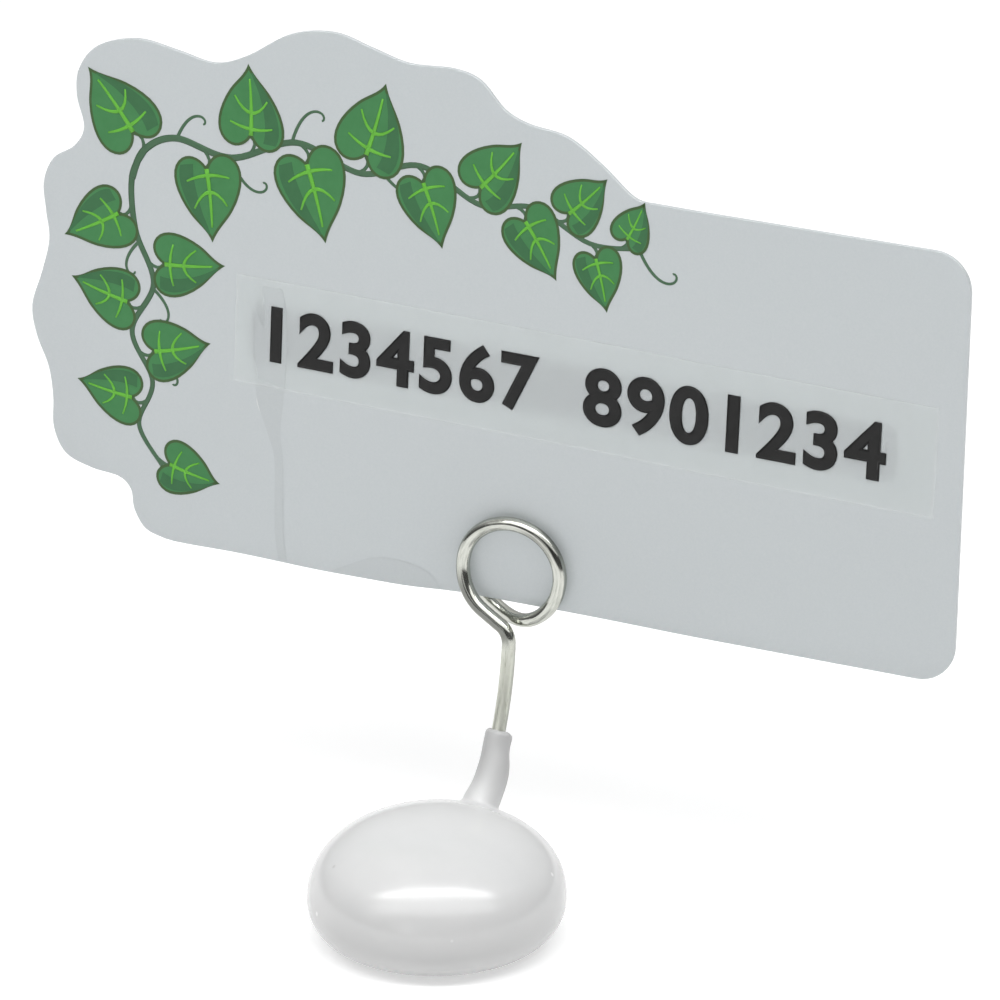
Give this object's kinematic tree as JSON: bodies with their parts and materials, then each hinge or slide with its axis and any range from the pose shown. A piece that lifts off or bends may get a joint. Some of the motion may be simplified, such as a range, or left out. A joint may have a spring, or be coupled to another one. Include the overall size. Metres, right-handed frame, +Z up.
{
  "type": "tag holder",
  "caption": "Table tag holder: a vinyl-dipped weighted dome with a bent wire coil that grips a die-cut, scalloped plastic tag with a clear label strip.",
  "frame": {"origin": "centre of the base's flat underside, on the table", "axes": "+X along the tag, to the right seen from its front, +Y to the tag's back, +Z up"},
  "size_m": [0.1714, 0.0583, 0.1422],
  "materials": {
    "weight": "as cast",
    "wire": "bright plated",
    "vinyl": "dipped gloss",
    "card": "gloss sheet",
    "tape": "clear film"
  },
  "bodies": {
    "holder": {"base_weight": "weight", "wire_clip": "wire", "base_coat": "vinyl"},
    "tag": {"tag_card": "card", "label_tape": "tape"}
  },
  "joints": [
    {"name": "tag_lift", "type": "slide", "parent": "holder", "child": "tag", "axis": [0, 0.0558, 0.9984], "range_m": [0, 0.018]}
  ]
}
